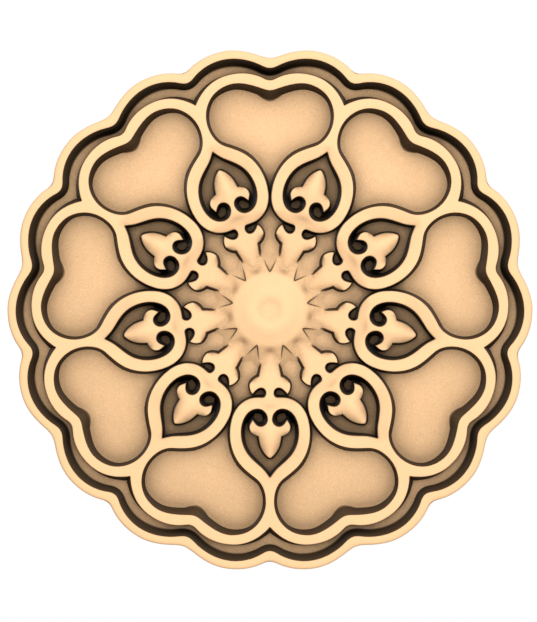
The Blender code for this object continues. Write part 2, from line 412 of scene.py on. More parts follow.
@dataclass
class Relief:
    """The height of the carved surface over the drawing of the half cell, in millimetres.

    A profile runs by the distance from the centre, or where "along" is said, along the palmette's axis.

    Attributes:
        upper: heights of the bands, leaves, lattice and rim.
        dome: heights of the dimpled dome and its skirt.
        shoulder_start: how far from the leaf's axis its shoulder begins to fall, along.
        inner_crest: heights of the inner leaf, along.
        inner_slope: how steeply it falls away from its crest, along.
        band_tilt: how steeply the bands lean into the pocket.
        band_width: how far from the pocket's edge they lean.
        shoulder_slope: how steeply the leaf's shoulder falls.
        shoulder_round: how softly that fall begins.
        shoulder_end: where it fades out, along.
        inner_round: how softly the inner leaf's crest is bent.
        inner_start: where the inner leaf rises out of the neck, along.
        inner_tip: where it ends, along.
        inner_taper: where it narrows towards its tip, along.
        inner_side: where its side runs out into the band, and over what width.
        inner_narrowing: how much less both are past the taper.
        skirt_dip: how deep the dome's skirt is scooped out before each leaf's point.
        skirt_width: how wide that scoop is.
        skirt_start: where it starts, along.
        star: heights of the valleys between the leaves' points, along the lobe's axis.
        star_fold: how steeply they rise on both sides of that axis.
        fold_round: how softly their bottom is bent.
        ground: heights of the sunk ground and the dished lobes' floors.
        dish: how strongly those floors curve up to both sides of the lobe's axis.
        dish_start: where that curve sets in.
        groove_floor: height of the floor between the lattice and the rim.
        pocket_floor: height of the floor inside the palmette.
        crease_width: how softly two surfaces meet in a crease.
        edge_drop: how far the upper surface is worn down at its edges.
        edge_width: how wide that wear is.
        rim_round: radius of the rim's outer edge.
        wall_ease: how much the walls round into the surfaces above and below, from 0 to 1.
        foot_fillet: width of the fillet at the foot of a wall.
        fillet_share: its height, as a share of the wall's.
    """

    upper: Profile = (
        (22.0, 15.3), (25.5, 15.6), (30.0, 16.05), (34.0, 16.6), (38.0, 17.3), (43.0, 18.0), (46.0, 18.4),
        (50.0, 19.35), (52.0, 20.1), (54.0, 21.0), (57.0, 22.3), (61.6, 22.9), (66.0, 23.3), (72.0, 23.5),
        (78.0, 23.3), (84.0, 22.6), (90.0, 21.7), (96.0, 20.9), (100.0, 20.6), (105.0, 20.4), (110.0, 20.0),
        (118.0, 19.3), (126.0, RIM_TOP),
    )
    dome: Profile = (
        (0.0, 20.7), (3.4, 20.78), (5.0, 21.1), (7.0, 21.65), (8.6, 21.93), (10.4, 22.0), (13.0, 21.5),
        (17.0, 20.1), (20.0, 19.15), (21.3, 18.6), (23.0, 17.7), (25.0, 16.7), (27.0, 15.7), (29.5, 14.5),
        (33.0, 12.8),
    )
    shoulder_start: Profile = (
        (30.0, 0.1), (32.0, 0.8), (34.0, 1.4), (36.0, 2.3), (38.0, 3.0), (40.0, 3.6), (43.0, 4.5),
    )
    inner_crest: Profile = (
        (52.0, 21.0), (54.8, 22.1), (57.0, 23.0), (59.3, 23.7), (62.0, 24.1), (64.0, 24.4), (66.5, 24.9),
        (69.0, 25.5), (72.0, 25.8), (75.0, 25.3), (78.0, 24.3), (81.0, 23.1), (84.3, 21.8), (86.0, 21.0),
    )
    inner_slope: Profile = ((57.0, 0.1), (62.0, 0.2), (66.0, 0.3), (69.0, 0.42), (72.0, 0.62), (84.0, 0.65))
    band_tilt: Profile = ((73.0, 0.0), (80.0, 0.28), (96.0, 0.3), (103.0, 0.0))
    band_width: float = 7.0
    shoulder_slope: float = 0.42
    shoulder_round: float = 1.2
    shoulder_end: Place = (38.0, 43.0)
    inner_round: float = sqrt(6.0)
    inner_start: Place = (53.5, 58.0)
    inner_tip: float = 84.6
    inner_taper: Place = (70.0, 78.0)
    inner_side: Place = (9.0, 4.5)
    inner_narrowing: Place = (3.5, 1.5)
    skirt_dip: float = 1.3
    skirt_width: float = 3.0
    skirt_start: Place = (20.5, 26.5)
    star: Profile = (
        (21.0, 17.5), (22.5, 16.95), (24.0, 16.15), (26.0, 15.05), (29.2, 13.4), (31.5, 12.3),
        (150.0, -44.0),
    )
    star_fold: float = 0.27
    fold_round: float = 0.4
    ground: Profile = (
        (30.0, 12.3), (50.0, 12.3), (57.0, 12.0), (62.0, 12.1), (67.0, 12.6), (73.0, 13.5), (80.0, 13.9),
        (88.0, 13.3), (95.0, 12.2), (100.0, 11.3), (105.0, 10.4), (110.0, 9.6), (116.0, 9.0), (126.0, 8.7),
    )
    dish: float = 0.001
    dish_start: Place = (70.0, 90.0)
    groove_floor: float = 11.0
    pocket_floor: float = 8.5
    crease_width: float = 0.2
    edge_drop: float = 0.12
    edge_width: float = 0.5
    rim_round: float = 2.0
    wall_ease: float = 0.35
    foot_fillet: float = 1.0
    fillet_share: float = 0.1

    def __post_init__(self) -> None:
        """Gathers the edges' segments for measuring, and the outlines of the sunk regions."""
        self.starts = np.concatenate([edge.places[:-1] for edge, _ in EDGES])
        self.ends = np.concatenate([edge.places[1:] for edge, _ in EDGES])
        self.outlines = {
            Region.POCKET: POCKET_EDGE.places,
            Region.GROUND: GROUND_EDGE.places,
            Region.GROOVE: np.concatenate([RIM_EDGE.places, LATTICE_EDGE.places[::-1]]),
        }

    def clearance(self, places: np.ndarray) -> np.ndarray:
        """The distance of each place from the nearest carved edge."""
        return nearest_points(self.starts, self.ends, places)[0]

    def region(self, places: np.ndarray) -> np.ndarray:
        """Tells the regions.

        Args:
            places: the places, one row each.

        Returns:
            The value of the Region that each place belongs to.
        """
        radius = np.hypot(*places.T)
        angle = np.radians(np.clip(np.degrees(np.arctan2(*places.T)), OFF_AXIS, HALF_CELL - OFF_AXIS))
        nudged = np.stack([radius * np.sin(angle), radius * np.cos(angle)], 1)
        found = np.full(len(places), Region.UPPER.value)
        for region, outline in self.outlines.items():
            found[inside(outline, nudged)] = region.value
        return found

    def upper_height(self, places: np.ndarray) -> np.ndarray:
        """Height of the upper surface, before its edges are worn.

        Args:
            places: the places, one row each.

        Returns:
            The heights.
        """
        x, y = places.T
        radius = np.hypot(x, y)
        from_pocket, _, _ = POCKET_EDGE.nearest(places)
        lean = np.clip(from_pocket, 0.0, self.band_width) - self.band_width / 2.0
        bands = along(self.upper, radius) + along(self.band_tilt, radius) * lean
        # The leaf's shoulders fall away near its point
        shoulder = soft(np.clip(x - along(self.shoulder_start, y), 0.0, None), self.shoulder_round)
        bands = bands - self.shoulder_slope * shoulder * (1.0 - ease(*self.shoulder_end, y))
        inner = along(self.inner_crest, y) - along(self.inner_slope, y) * soft(x, self.inner_round)
        narrower = ease(*self.inner_taper, y)
        side, width = (full - less * narrower for full, less in zip(self.inner_side, self.inner_narrowing))
        share = ease(*self.inner_start, y) * (y < self.inner_tip)
        share = share * (1.0 - ease(0.0, 1.0, (x - side) / width))
        bands = bands * (1.0 - share) + inner * share
        scoop = self.skirt_dip * np.exp(-(x / self.skirt_width) ** 2) * ease(*self.skirt_start, y)
        return self.higher(along(self.dome, radius) - scoop, bands)

    def higher(self, first: np.ndarray, second: np.ndarray) -> np.ndarray:
        """The higher of two surfaces, which meet in a soft crease."""
        return 0.5 * (first + second + np.hypot(first - second, self.crease_width))

    def ground_height(self, places: np.ndarray) -> np.ndarray:
        """Height of the sunk ground: the star's valley down to the chevron, the level floor beyond.

        Args:
            places: the places, one row each.

        Returns:
            The heights.
        """
        radius = np.hypot(*places.T)
        from_axis = np.abs(aside(places, LOBE_AXIS))
        valley = along(self.star, places @ LOBE_AXIS) + self.star_fold * soft(from_axis, self.fold_round)
        floor = along(self.ground, radius) + self.dish * from_axis ** 2 * ease(*self.dish_start, radius)
        return self.higher(valley, floor)

    def height(self, places: np.ndarray) -> np.ndarray:
        """Height of the carved surface.

        Args:
            places: the places, one row each.

        Returns:
            The heights.
        """
        region = self.region(places)
        wear = self.edge_drop * np.clip(1.0 - self.clearance(places) / self.edge_width, 0.0, 1.0) ** 2
        to_outside, _, _ = SILHOUETTE.nearest(places)
        reach = np.clip(self.rim_round - to_outside, 0.0, self.rim_round)
        rounding = self.rim_round - np.sqrt(np.clip(self.rim_round ** 2 - reach ** 2, 0.0, None))
        found = np.where(region == Region.UPPER.value, self.upper_height(places) - wear - rounding, 0.0)
        floors = {
            Region.GROUND: self.ground_height(places),
            Region.POCKET: np.full(len(places), self.pocket_floor),
            Region.GROOVE: np.full(len(places), self.groove_floor),
        }
        for edge, below in EDGES:
            there = region == below.value
            wall = self.wall_height(edge, floors[below][there], places[there])
            found[there] = np.maximum(found[there], wall)
        return found

    def wall_height(self, edge: CarvedEdge, floor: np.ndarray, places: np.ndarray) -> np.ndarray:
        """Height of the wall below one edge, and of the floor beyond its foot.

        Args:
            edge: the edge.
            floor: the height of the floor at each place.
            places: the places, one row each.

        Returns:
            The heights.
        """
        distance, number, part = edge.nearest(places)
        touch = edge.places[number] + part[:, None] * np.diff(edge.places, axis=0)[number]
        run = edge.runs[number] + part * np.diff(edge.runs)[number]
        top = self.upper_height(touch) - self.edge_drop
        floor = np.minimum(floor, top)
        t = distance / run
        fallen = t * (1.0 - self.wall_ease) + ease(0.0, 1.0, t) * self.wall_ease
        # The foot runs out into the floor in a small fillet, half of it on the wall
        reach = np.clip((distance - run) / self.foot_fillet + 0.5, 0.0, 1.0)
        fallen = np.minimum(np.where(t < 1.0, fallen, 1.0), 1.0 - self.fillet_share * (1.0 - reach) ** 2)
        return top + (floor - top) * fallen


@dataclass
class HalfCell:
    """The drawing of the half cell, divided into triangles that follow every carved edge.

    Attributes:
        relief: the height of the carved surface.
        open_spacing: distance between the points on open surfaces, in millimetres.
        open_margin: how far inside the half cell those points stay.
        open_room: how far they stay from drawn points, as a share of their spacing.
        axis_spacing: distance between the points on the two axes.
        axis_room: how far those stay from drawn points.
        closest: how near neighbours on a line may be.
        wall_rows: lines down a wall and past its foot, as a share of its run and a distance added.
        least_run: a line nearer to its edge than this is left out.
        row_share: how much of its distance a line has to keep from its edge.
        row_room: the most that it has to keep from other edges.
        top_rows: distances of the lines that follow the edges on the upper surface.
        rim_turns: the angles of the lines round the rim's outer edge, in degrees.
        crease_rows: distances of the lines along the leaf's crease.
        crease_room: how far those stay from carved edges.
        chevron_radii: where the lines along the chevron start, on the lobe's axis.
        chevron_angle: the angle between that axis and the chevron's arm, in degrees.
        chevron_steps: length of the arm, and the distance between its points.
        chevron_room: how far those stay from carved edges.
        places: the drawn points.
        lines: the pairs of drawn points that are joined.
    """

    relief: Relief = field(default_factory=Relief)
    open_spacing: float = 1.45
    open_margin: float = 0.6
    open_room: float = 0.62
    axis_spacing: float = 1.2
    axis_room: float = 0.55
    closest: float = 0.22
    wall_rows: Profile = ((0.15, 0.0), (0.45, 0.0), (0.75, 0.0), (1.0, 0.0), (1.0, 0.5))
    least_run: float = 0.12
    row_share: float = 0.965
    row_room: float = 2.2
    top_rows: tuple[float, ...] = (0.5,)
    rim_turns: tuple[float, ...] = (74.0, 56.0, 38.0, 20.0, 0.0)
    crease_rows: tuple[float, ...] = (-0.5, 0.0, 0.5)
    crease_room: float = 0.3
    chevron_radii: tuple[float, ...] = (30.9, 31.5, 32.1)
    chevron_angle: float = 60.0
    chevron_steps: Place = (9.0, 0.6)
    chevron_room: float = 0.5
    places: list = field(init=False, default_factory=list)
    lines: list = field(init=False, default_factory=list)

    def add_line(self, places: np.ndarray, kept: np.ndarray) -> None:
        """Adds the kept points of a line, joined wherever neighbours are kept.

        Args:
            places: the points in order.
            kept: True for each point to keep.
        """
        previous = None
        for place, keep in zip(places, kept):
            if not keep:
                previous = None
                continue
            if previous is not None and hypot(*(place - self.places[previous])) < self.closest:
                continue
            self.places.append(place)
            if previous is not None:
                self.lines.append((previous, len(self.places) - 1))
            previous = len(self.places) - 1

    def in_cell(self, places: np.ndarray, margin: float = 0.0) -> np.ndarray:
        """Tells which places lie in the half cell.

        Args:
            places: the places, one row each.
            margin: how far inside the two axes and the silhouette they must lie.

        Returns:
            True for each place in it.
        """
        room = margin - TINY
        between_axes = (places[:, 0] >= room) & (-aside(places, LOBE_AXIS) >= room)
        return between_axes & (SILHOUETTE.nearest(places)[0] >= margin) & self.under_silhouette(places)

    @staticmethod
    def under_silhouette(places: np.ndarray) -> np.ndarray:
        """Tells which places lie nearer the centre than the silhouette does.

        Args:
            places: the places, one row each.

        Returns:
            True for each of them.
        """
        angles = np.degrees(np.arctan2(*SILHOUETTE.places.T))
        radii = np.hypot(*SILHOUETTE.places.T)
        return np.hypot(*places.T) < np.interp(np.degrees(np.arctan2(*places.T)), angles, radii) + TINY

    def draw_walls(self) -> None:
        """Draws the carved edges, the lines down their walls and those beside them."""
        for edge, _ in EDGES:
            self.add_line(edge.places, np.ones(len(edge.places), bool))
            rows = [edge.row(share, extra) for share, extra in self.wall_rows]
            rows += [edge.row(0.0, -distance) for distance in self.top_rows]
            for number, (places, wanted) in enumerate(rows):
                room = self.row_share * wanted
                clear = (edge.nearest(places)[0] > room) & (
                    self.relief.clearance(places) > np.minimum(room, self.row_room))
                lowered = self.relief.region(places) != Region.UPPER.value
                on_wall = number < len(self.wall_rows)
                kept = self.in_cell(places) & clear & (wanted > self.least_run) & (lowered == on_wall)
                self.add_line(places, kept)

    def draw_rim(self) -> None:
        """Draws the silhouette and the lines round the rim's outer edge."""
        self.add_line(SILHOUETTE.places, np.ones(len(SILHOUETTE.places), bool))
        for turn in self.rim_turns:
            places, _ = SILHOUETTE.row(0.0, self.relief.rim_round * (1.0 - sin(radians(turn))))
            self.add_line(places, self.in_cell(places))

    def draw_leaf_crease(self) -> None:
        """Draws the crease at the point of the leaf, and a line on each side of it."""
        for extra in self.crease_rows:
            places, _ = LEAF_CREASE.row(0.0, extra)
            self.add_line(places, self.in_cell(places) & (self.relief.clearance(places) > self.crease_room))

    def draw_chevron(self) -> None:
        """Draws the chevron where the star's valley ends in the level floor, and a line on each side."""
        arm = np.array(polar(HALF_CELL - self.chevron_angle, 1.0))
        for radius in self.chevron_radii:
            places = LOBE_AXIS * radius + arm * np.arange(0.0, *self.chevron_steps)[:, None]
            sunk = self.relief.region(places) == Region.GROUND.value
            self.add_line(places, sunk & (self.relief.clearance(places) > self.chevron_room))

    def draw_open_surface(self) -> None:
        """Spreads points over the open surfaces and along the two axes."""
        drawn = KDTree(len(self.places))
        for number, (x, y) in enumerate(self.places):
            drawn.insert((x, y, 0.0), number)
        drawn.balance()

        def clear(place: np.ndarray, room: float) -> bool:
            """True where no drawn point is nearer than the room asked for."""
            return drawn.find((*place, 0.0))[2] > room

        for axis, start in zip(AXES, (0.0, self.axis_spacing)):
            for radius in np.arange(start, AXIS_LENGTH, self.axis_spacing):
                if clear(axis * radius, self.axis_room):
                    self.places.append(axis * radius)
        width, height = DRAWING_BOX
        grid = np.array([
            (x + (number % 2) * self.open_spacing / 2.0, y)
            for number, y in enumerate(np.arange(0.0, height, self.open_spacing * sqrt(0.75)))
            for x in np.arange(0.0, width, self.open_spacing)
        ])
        for place in grid[self.in_cell(grid, self.open_margin)]:
            if clear(place, self.open_room * self.open_spacing):
                self.places.append(place)

    def join_axes(self) -> None:
        """Joins all points that lie on an axis of the half cell, from the centre outwards."""
        places = np.array(self.places)
        for axis in AXES:
            numbers = np.flatnonzero(np.abs(aside(places, axis)) < ON_AXIS)
            numbers = numbers[np.argsort(places[numbers] @ axis)]
            self.lines.extend(zip(numbers.tolist(), numbers[1:].tolist()))

    def triangulate(self) -> tuple[np.ndarray, np.ndarray]:
        """Divides the drawing into triangles.

        Returns:
            The points with their heights in millimetres, and the triangles.
        """
        self.draw_walls()
        self.draw_rim()
        self.draw_leaf_crease()
        self.draw_chevron()
        self.draw_open_surface()
        self.join_axes()
        inside_lines, snap = 1, 1e-4
        flat, _, faces, _, _, _ = delaunay_2d_cdt(
            [Vector(place) for place in self.places], self.lines, [], inside_lines, snap)
        flat = np.array([tuple(place) for place in flat])
        return np.column_stack([flat, self.relief.height(flat)]), np.array(faces)


def in_scene(points: np.ndarray) -> np.ndarray:
    """Turns drawn points with their heights into points of the scene, in metres."""
    return np.column_stack([points[:, 0], -points[:, 2], -points[:, 1]]) * MM


@dataclass
class Openness:
    """How freely each point of the carving sees out, from 0 in the deepest cut to 1 on open wood.

    Attributes:
        directions: how many ways are looked from each point.
        reach: how far a neighbouring wall still counts, in metres.
        near: the distance over which a wall stops counting in full, in metres.
        far_share: how much a wall at the end of the reach still counts.
        lift: how far off the surface the look starts, in metres.
    """

    directions: int = 128
    reach: float = 0.045
    near: float = 0.008
    far_share: float = 0.2
    lift: float = 0.00015

    def ways(self) -> list[Vector]:
        """Even ways out of a surface that faces +Z, the more of them the nearer they are to upright.

        Returns:
            The ways.
        """
        golden = pi * (3.0 - sqrt(5.0))
        found = []
        for number in range(self.directions):
            radius, turn = sqrt((number + 0.5) / self.directions), golden * number
            found.append(Vector((radius * cos(turn), radius * sin(turn), sqrt(1.0 - radius ** 2))))
        return found

    def measure(self, points: np.ndarray, normals: np.ndarray, tree: BVHTree) -> np.ndarray:
        """Looks out from each point.

        Args:
            points: the points, in metres.
            normals: the way that the surface faces at each.
            tree: the whole carved surface.

        Returns:
            The openness of each point.
        """
        ways = self.ways()
        found = np.ones(len(points))
        for index, (point, normal) in enumerate(zip(points, normals)):
            normal = Vector(normal)
            turn = normal.to_track_quat('Z', 'Y')
            start = Vector(point) + normal * self.lift
            for way in ways:
                distance = tree.ray_cast(start, turn @ way, self.reach)[3]
                if distance is not None:
                    blocked = self.far_share + (1.0 - self.far_share) * exp(-distance / self.near)
                    found[index] -= blocked / len(ways)
        return found


@dataclass
class Medallion:
    """The carved medallion, made from the half cell.

    Attributes:
        name: the name of the finished piece.
        cell: the half cell.
        openness: how the depth of the cuts is measured.
        back_edge: width of the small bevel round the back, in metres.
        mean_radius: the outline's mean distance from the centre, in metres.
        sharp_angle: edges sharper than this stay crisp, in degrees.
    """

    name: str = "carved_medallion"
    cell: HalfCell = field(default_factory=HalfCell)
    openness: Openness = field(default_factory=Openness)
    back_edge: float = 0.0006
    mean_radius: float = 0.147
    sharp_angle: float = 40.0

    def build(self) -> bpy.types.Object:
        """Makes the whole carving as one closed piece.

        Returns:
            The finished piece.
        """
        points, triangles = self.cell.triangulate()
        places = in_scene(points)
        log.info("half cell: %d points, %d triangles", len(places), len(triangles))
        piece = self._half_cell_object(places, triangles, self._openness(places, triangles))
        self._mirror(piece)
        piece = self._turn_round(piece)
        self._close(piece)
        log.info("%s: %d triangles", self.name, len(piece.data.polygons))
        return piece

    def _openness(self, places: np.ndarray, triangles: np.ndarray) -> np.ndarray:
        """Measures the openness of the half cell's points within the whole carving.

        Args:
            places: the points of the half cell, in metres.
            triangles: its triangles.

        Returns:
            The openness of each point.
        """
        corners, faces = [], []
        for number in range(LOBES):
            turn = np.array(Matrix.Rotation(2.0 * pi * number / LOBES, 3, 'Y'))
            for flip in (1.0, -1.0):
                faces.append(triangles + len(places) * len(corners))
                corners.append((places * (flip, 1.0, 1.0)) @ turn.T)
        tree = BVHTree.FromPolygons(np.concatenate(corners).tolist(), np.concatenate(faces).tolist())
        a, b, c = (places[triangles[:, corner]] for corner in range(3))
        facing = np.cross(b - a, c - a)
        facing *= np.where(facing[:, 1:2] > 0.0, -1.0, 1.0)
        normals = np.zeros_like(places)
        for corner in range(3):
            np.add.at(normals, triangles[:, corner], facing)
        # On the two axes the mirrored half evens the normal out
        radius = np.hypot(places[:, 0], places[:, 2])
        for angle in (0.0, HALF_CELL):
            across = np.array([cos(radians(angle)), 0.0, sin(radians(angle))])
            on_axis = (np.abs(places @ across) < TINY) & (radius > TINY)
            normals[on_axis] -= np.outer(normals[on_axis] @ across, across)
        normals /= np.linalg.norm(normals, axis=1)[:, None]
        return self.openness.measure(places, normals, tree)

    def _half_cell_object(
        self, places: np.ndarray, triangles: np.ndarray, openness: np.ndarray
    ) -> bpy.types.Object:
        """Makes the half cell an object that carries its openness.

        The carved edges run as free curves with a draft of their own all along, which no primitive can
        be extruded or cut into cleanly, so this surface is laid out as a drawing.

        Args:
            places: the points, in metres.
            triangles: the triangles.
            openness: the openness of each point.

        Returns:
            The half cell.
        """
        data = bpy.data.meshes.new(self.name)
        data.from_pydata(places.tolist(), [], triangles.tolist())
        data.attributes.new("openness", 'FLOAT', 'POINT').data.foreach_set("value", openness)
        piece = bpy.data.objects.new(self.name, data)
        bpy.context.scene.collection.objects.link(piece)
        return piece

    @staticmethod
    def _mirror(piece: bpy.types.Object) -> None:
        """Mirrors the half cell over the palmette's axis.

        Args:
            piece: the half cell, which becomes the cell.
        """
        activate(piece)
        mirror = piece.modifiers.new("other half", 'MIRROR')
        mirror.use_mirror_merge = True
        mirror.merge_threshold = WELD
        bpy.ops.object.modifier_apply(modifier=mirror.name)

    @staticmethod
    def _turn_round(piece: bpy.types.Object) -> bpy.types.Object:
        """Copies the cell round the centre and joins the copies.

        Args:
            piece: the cell.

        Returns:
            The joined carving.
        """
        copies = [piece]
        for number in range(1, LOBES):
            activate(piece)
            bpy.ops.object.duplicate()
            copies.append(bpy.context.view_layer.objects.active)
            edit_all()
            turn = 2.0 * pi * number / LOBES
            bpy.ops.transform.rotate(
                value=turn, orient_axis='Y', orient_type='GLOBAL', center_override=CENTRE)
            bpy.ops.object.mode_set(mode='OBJECT')
        activate(piece)
        for copy in copies:
            copy.select_set(True)
        bpy.ops.object.join()
        edit_all()
        bpy.ops.mesh.remove_doubles(threshold=WELD)
        bpy.ops.object.mode_set(mode='OBJECT')
        return piece

    def _close(self, piece: bpy.types.Object) -> None:
        """Gives the carving its side and its flat back, and shades it.

        Args:
            piece: the carved surface, open behind.
        """
        activate(piece)
        bpy.ops.object.mode_set(mode='EDIT')
        bpy.ops.mesh.select_mode(type='EDGE')
        bpy.ops.mesh.select_all(action='DESELECT')
        bpy.ops.mesh.select_non_manifold()
        depth = (RIM_TOP - self.cell.relief.rim_round) * MM
        for step in (depth - self.back_edge, self.back_edge):
            bpy.ops.mesh.extrude_region_move(TRANSFORM_OT_translate={"value": (0.0, step, 0.0)})
        scale = 1.0 - self.back_edge / self.mean_radius
        bpy.ops.transform.resize(value=(scale, 1.0, scale), orient_type='GLOBAL', center_override=CENTRE)
        bpy.ops.mesh.edge_face_add()
        bpy.ops.mesh.select_all(action='SELECT')
        bpy.ops.mesh.normals_make_consistent(inside=False)
        bpy.ops.object.mode_set(mode='OBJECT')
        activate(piece)
        bpy.ops.object.shade_smooth_by_angle(angle=radians(self.sharp_angle))


def edit_all() -> None:
    """Edits the active object, with everything in it selected."""
    bpy.ops.object.mode_set(mode='EDIT')
    bpy.ops.mesh.select_all(action='SELECT')


def activate(piece: bpy.types.Object) -> None:
    """Leaves one object selected and active, and nothing else.

    Args:
        piece: the object.
    """
    bpy.ops.object.select_all(action='DESELECT')
    piece.select_set(True)
    bpy.context.view_layer.objects.active = piece


class NodeGroup:
    """A shader node group under construction.

    Attributes:
        tree: the group.
        start: its input node.
        end: its output node.
    """

    def __init__(self, name: str, inputs: dict[str, float], outputs: dict[str, str]) -> None:
        """Makes the group with its sockets.

        Args:
            name: the name of the group.
            inputs: number inputs with their usual values.
            outputs: outputs with their socket types.
        """
        self.tree = bpy.data.node_groups.new(name, 'ShaderNodeTree')
        for label, value in inputs.items():
            socket = self.tree.interface.new_socket(label, in_out='INPUT', socket_type='NodeSocketFloat')
            socket.default_value = value
        for label, kind in outputs.items():
            self.tree.interface.new_socket(label, in_out='OUTPUT', socket_type=kind)
        self.start = self.tree.nodes.new('NodeGroupInput')
        self.end = self.tree.nodes.new('NodeGroupOutput')

    def add(self, kind: str, **settings: object) -> bpy.types.Node:
        """Adds a node with its settings and returns it."""
        return add_node(self.tree, kind, **settings)

    def link(self, source: bpy.types.NodeSocket, target: bpy.types.NodeSocket) -> None:
        """Joins two sockets."""
        self.tree.links.new(source, target)

    def math(self, operation: str, first: object, second: object = 0.0) -> bpy.types.NodeSocket:
        """Adds a sum on two sockets or numbers.

        Args:
            operation: the kind of sum.
            first: the first socket or number.
            second: the second socket or number.

        Returns:
            The socket with the result.
        """
        node = self.add('ShaderNodeMath', operation=operation)
        for place, value in enumerate((first, second)):
            if isinstance(value, bpy.types.NodeSocket):
                self.link(value, node.inputs[place])
            else:
                node.inputs[place].default_value = value
        return node.outputs[0]

    def noise(self, place: bpy.types.NodeSocket, **settings: float) -> bpy.types.NodeSocket:
        """Adds a noise.

        Args:
            place: the place to read it at.
            settings: values for its inputs.

        Returns:
            The socket with the noise.
        """
        node = self.add('ShaderNodeTexNoise')
        self.link(place, node.inputs['Vector'])
        for label, value in settings.items():
            node.inputs[label].default_value = value
        return node.outputs['Fac']

    def spread(self, value: bpy.types.NodeSocket, start: float, end: float, low: float = 0.0,
               kind: str = 'SMOOTHSTEP') -> bpy.types.NodeSocket:
        """Adds a rise from a low value to 1.

        Args:
            value: the value to read.
            start: the value at which the rise starts.
            end: the value at which it ends.
            low: the result at the start.
            kind: the form of the rise.

        Returns:
            The socket with the result.
        """
        node = self.add('ShaderNodeMapRange', interpolation_type=kind)
        for label, number in (("From Min", start), ("From Max", end), ("To Min", low)):
            node.inputs[label].default_value = number
        self.link(value, node.inputs['Value'])
        return node.outputs['Result']


def add_node(tree: bpy.types.NodeTree, kind: str, **settings: object) -> bpy.types.Node:
    """Adds a node to a tree.

    Args:
        tree: the node tree.
        kind: the type of node.
        settings: values for the node's own properties.

    Returns:
        The node.
    """
    node = tree.nodes.new(kind)
    for key, value in settings.items():
        setattr(node, key, value)
    return node


def multiply(tree: bpy.types.NodeTree, first: object, second: bpy.types.NodeSocket) -> bpy.types.NodeSocket:
    """Adds a product of two colours or greys.

    Args:
        tree: the node tree.
        first: a socket, or a colour.
        second: a socket.

    Returns:
        The socket with the product.
    """
    node = add_node(tree, 'ShaderNodeMix', data_type='RGBA', blend_type='MULTIPLY')
    node.inputs['Factor'].default_value = 1.0
    if isinstance(first, bpy.types.NodeSocket):
        tree.links.new(first, node.inputs['A'])
    else:
        node.inputs['A'].default_value = (*first, 1.0)
    tree.links.new(second, node.inputs['B'])
    return node.outputs['Result']


def set_ramp(ramp: bpy.types.ColorRamp, stops: Profile) -> None:
    """Sets a ramp to greys.

    Args:
        ramp: the ramp.
        stops: pairs of a position and a grey value.
    """
    while len(ramp.elements) < len(stops):
        ramp.elements.new(0.5)
    for element, (position, value) in zip(ramp.elements, stops):
        element.position = position
        element.color = (value, value, value, 1.0)


def fine_grain_group() -> bpy.types.NodeTree:
    """The fine, even grain of the board, up and down, and the stipple of the tool on the sunk floors.

    Returns:
        The group. Mottle multiplies the colour and stays around 1, Dullness is a roughness and Relief a
        height from 0 to 1.
    """
    outputs = {"Mottle": 'NodeSocketFloat', "Dullness": 'NodeSocketFloat', "Relief": 'NodeSocketFloat'}
    group = NodeGroup("fine_grain", {"Streaks": 0.1, "Stipple": 0.3, "Dullness": 0.5}, outputs)
    place = group.add('ShaderNodeTexCoord').outputs['Object']
    stretch = group.add('ShaderNodeMapping')
    stretch.inputs['Scale'].default_value = (1.0, 1.0, 0.045)
    group.link(place, stretch.inputs['Vector'])
    streak = group.noise(stretch.outputs['Vector'], Scale=260.0, Detail=4.0)
    stipple = group.noise(place, Scale=1600.0, Detail=3.0, Roughness=0.65)
    # The upper surfaces are rubbed smooth, the floors keep the marks of the tool
    openness = group.add('ShaderNodeAttribute', attribute_name="openness").outputs['Fac']
    sunk = group.spread(openness, 1.0, 0.97, 0.08, 'LINEAR')
    marks = group.math('MULTIPLY', group.math('SUBTRACT', stipple, 0.5), sunk)
    lines = group.math('SUBTRACT', streak, 0.5)
    sums = (
        ("Mottle", 1.0, group.start.outputs['Stipple'], group.start.outputs['Streaks']),
        ("Dullness", group.start.outputs['Dullness'], 0.3, 0.15),
        ("Relief", 0.5, 1.0, 0.25),
    )
    for label, middle, mark_share, line_share in sums:
        total = group.math('ADD', middle, group.math('MULTIPLY', marks, mark_share))
        total = group.math('ADD', total, group.math('MULTIPLY', lines, line_share))
        group.link(total, group.end.inputs[label])
    return group.tree


def painted_shade_group() -> bpy.types.NodeTree:
    """Painted shade: the cuts darken by how enclosed they are, and the walls by how far they turn from the
    front.

    Returns:
        The group. Open is a mask from 0 in the deepest cut to 1 on open wood, which sets the painted shade
        in the cuts. Wall is the share of the wood's colour that steep walls keep under painted shade, 1 on
        level wood.
    """
    outputs = {"Open": 'NodeSocketFloat', "Wall": 'NodeSocketFloat'}
    group = NodeGroup("painted_shade", {"Painted Wall Shade": 0.5}, outputs)
    openness = group.add('ShaderNodeAttribute', attribute_name="openness").outputs['Fac']
    facing = group.add('ShaderNodeSeparateXYZ')
    group.link(group.add('ShaderNodeTexCoord').outputs['Normal'], facing.inputs['Vector'])
    # Painted shade on the walls: the more a surface turns away from the front, the darker it is painted
    steep = group.spread(facing.outputs['Y'], -0.95, -0.55)
    # Walls that see out freely, as on the rim's outer edge, get no painted shade
    hidden = group.spread(openness, 1.0, 0.985)
    painted_wall_darkening = group.math('MULTIPLY', group.math('MULTIPLY', steep, hidden), group.start.outputs['Painted Wall Shade'])
    group.link(openness, group.end.inputs['Open'])
    group.link(group.math('SUBTRACT', 1.0, painted_wall_darkening), group.end.inputs['Wall'])
    return group.tree


